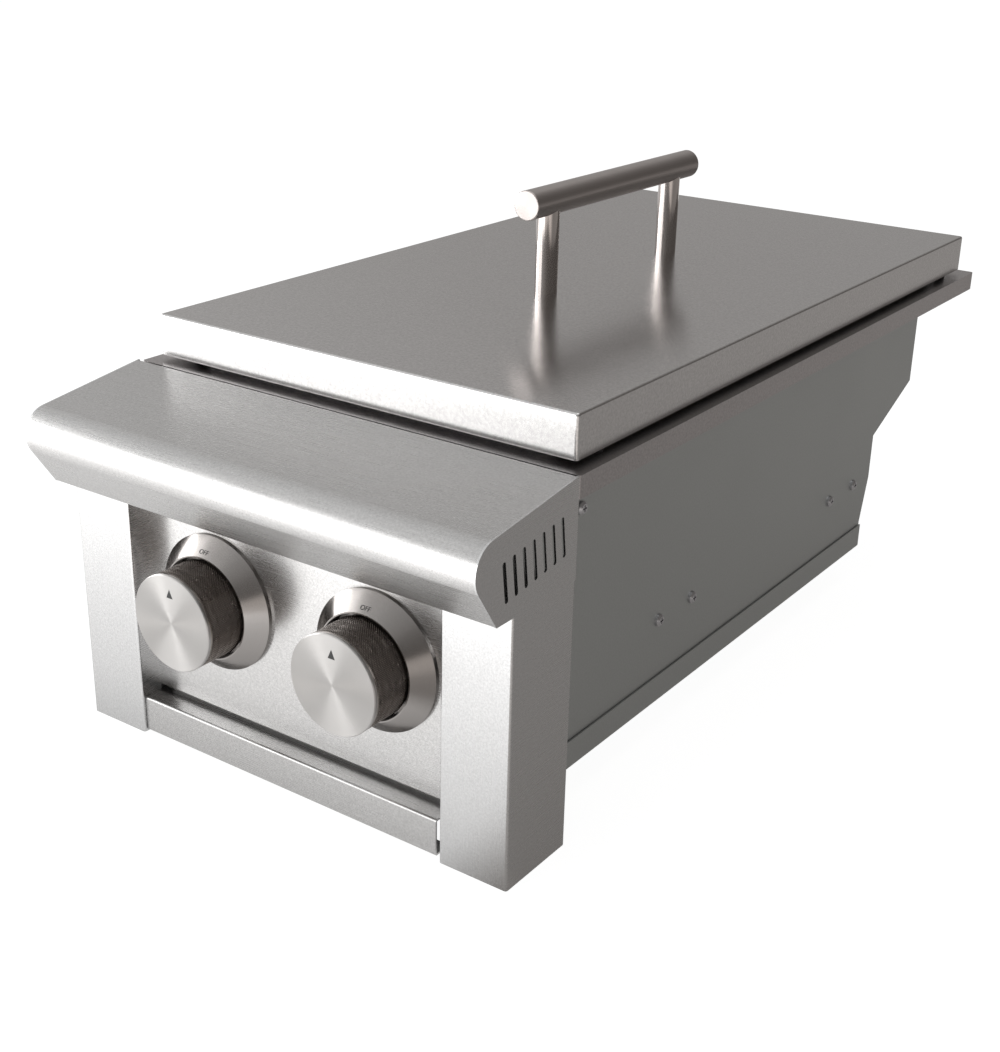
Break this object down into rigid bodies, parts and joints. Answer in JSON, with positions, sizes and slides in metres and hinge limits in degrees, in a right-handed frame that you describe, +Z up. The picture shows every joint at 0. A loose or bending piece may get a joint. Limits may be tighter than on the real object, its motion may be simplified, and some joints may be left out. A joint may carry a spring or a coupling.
{
  "type": "built in side burner",
  "caption": "Slide-in gas side burner for an outdoor kitchen: stainless box and bull-nosed fascia, turned control knobs, and a lift-off lid with a bar handle.",
  "frame": {"origin": "middle of the footprint at the height of the pillars' feet", "axes": "+Z up, -Y towards the cook (knobs), +X to the cook's right; +Y is the long way"},
  "size_m": [0.32, 0.6554, 0.3163],
  "materials": {
    "brushed_stainless": "fine brushed",
    "basin_stainless": "satin",
    "handle_stainless": "turned, brushed along",
    "fascia_stainless": "fine brushed",
    "galvanised_sheet": "mill finish",
    "zinc_screws": "bright zinc",
    "bumper_rubber": "matt",
    "grate_rod": "drawn rod",
    "burner_casting": "cast",
    "cap_iron": "black enamel",
    "tube_aluminium": "satin",
    "white_ceramic": "glazed ceramic",
    "bezel_steel": "spun",
    "dark_knurl": "dark knurled metal",
    "spun_cap": "spun in circles",
    "black_mark": "matt black",
    "valve_brass": "machined",
    "gas_pipe": "dark pipe"
  },
  "bodies": {
    "burner_box": {"hob_frame": "brushed_stainless", "burner_basin": "basin_stainless", "visor": "fascia_stainless", "left_pillar": "fascia_stainless", "right_pillar": "fascia_stainless", "control_panel": "fascia_stainless", "lower_rail": "fascia_stainless", "left_side_panel": "galvanised_sheet", "right_side_panel": "galvanised_sheet", "rear_panel": "galvanised_sheet", "bottom_pan": "galvanised_sheet", "heat_shield": "galvanised_sheet", "front_burner_bracket": "galvanised_sheet", "rear_burner_bracket": "galvanised_sheet", "side_screws": "zinc_screws", "bezel_screws": "zinc_screws", "front_burner_cup": "burner_casting", "front_burner_head": "burner_casting", "front_venturi_tube": "tube_aluminium", "front_electrode": "white_ceramic", "front_spark_tip": "zinc_screws", "rear_burner_cup": "burner_casting", "rear_burner_head": "burner_casting", "rear_venturi_tube": "tube_aluminium", "rear_electrode": "white_ceramic", "rear_spark_tip": "zinc_screws", "left_bezel": "bezel_steel", "left_air_shutter": "tube_aluminium", "left_valve_body": "tube_aluminium", "left_orifice": "valve_brass", "right_bezel": "bezel_steel", "right_air_shutter": "tube_aluminium", "right_valve_body": "tube_aluminium", "right_orifice": "valve_brass", "manifold_pipe": "gas_pipe", "gas_inlet_elbow": "valve_brass"},
    "lid": {"lid_shell": "brushed_stainless", "lid_handle_bar": "handle_stainless", "lid_post_front": "handle_stainless", "lid_post_rear": "handle_stainless", "lid_handle_screws": "zinc_screws", "lid_bumpers": "bumper_rubber"},
    "left_rotor": {"left_valve_plug": "valve_brass", "left_valve_spring": "zinc_screws"},
    "left_knob": {"left_valve_stem": "valve_brass", "left_knob_skirt": "dark_knurl", "left_knob_cap": "spun_cap", "left_knob_pointer": "black_mark"},
    "right_rotor": {"right_valve_plug": "valve_brass", "right_valve_spring": "zinc_screws"},
    "right_knob": {"right_valve_stem": "valve_brass", "right_knob_skirt": "dark_knurl", "right_knob_cap": "spun_cap", "right_knob_pointer": "black_mark"},
    "front_grate_body": {"front_grate": "grate_rod"},
    "front_cap_body": {"front_burner_cap": "cap_iron"},
    "rear_grate_body": {"rear_grate": "grate_rod"},
    "rear_cap_body": {"rear_burner_cap": "cap_iron"}
  },
  "joints": [
    {"name": "lid_lift", "type": "slide", "parent": "burner_box", "child": "lid", "axis": [0, 0, 1], "range_m": [0, 0.15]},
    {"name": "left_turn", "type": "hinge", "parent": "burner_box", "child": "left_rotor", "pos_m": [-0.0602, -0.25176, 0.1003], "axis": [0, -1, 0], "range_deg": [0, 180]},
    {"name": "left_push", "type": "slide", "parent": "left_rotor", "child": "left_knob", "axis": [0, 1, 0], "range_m": [0, 0.004], "stiffness_N_per_m": 1500, "springref_m": -0.002, "deforming": ["left_valve_spring"]},
    {"name": "right_turn", "type": "hinge", "parent": "burner_box", "child": "right_rotor", "pos_m": [0.0602, -0.25176, 0.1003], "axis": [0, -1, 0], "range_deg": [0, 180]},
    {"name": "right_push", "type": "slide", "parent": "right_rotor", "child": "right_knob", "axis": [0, 1, 0], "range_m": [0, 0.004], "stiffness_N_per_m": 1500, "springref_m": -0.002, "deforming": ["right_valve_spring"]},
    {"name": "front_grate_lift", "type": "slide", "parent": "burner_box", "child": "front_grate_body", "axis": [0, 0, 1], "range_m": [0, 0.008]},
    {"name": "front_cap_lift", "type": "slide", "parent": "burner_box", "child": "front_cap_body", "axis": [0, 0, 1], "range_m": [0, 0.008]},
    {"name": "rear_grate_lift", "type": "slide", "parent": "burner_box", "child": "rear_grate_body", "axis": [0, 0, 1], "range_m": [0, 0.008]},
    {"name": "rear_cap_lift", "type": "slide", "parent": "burner_box", "child": "rear_cap_body", "axis": [0, 0, 1], "range_m": [0, 0.008]}
  ]
}
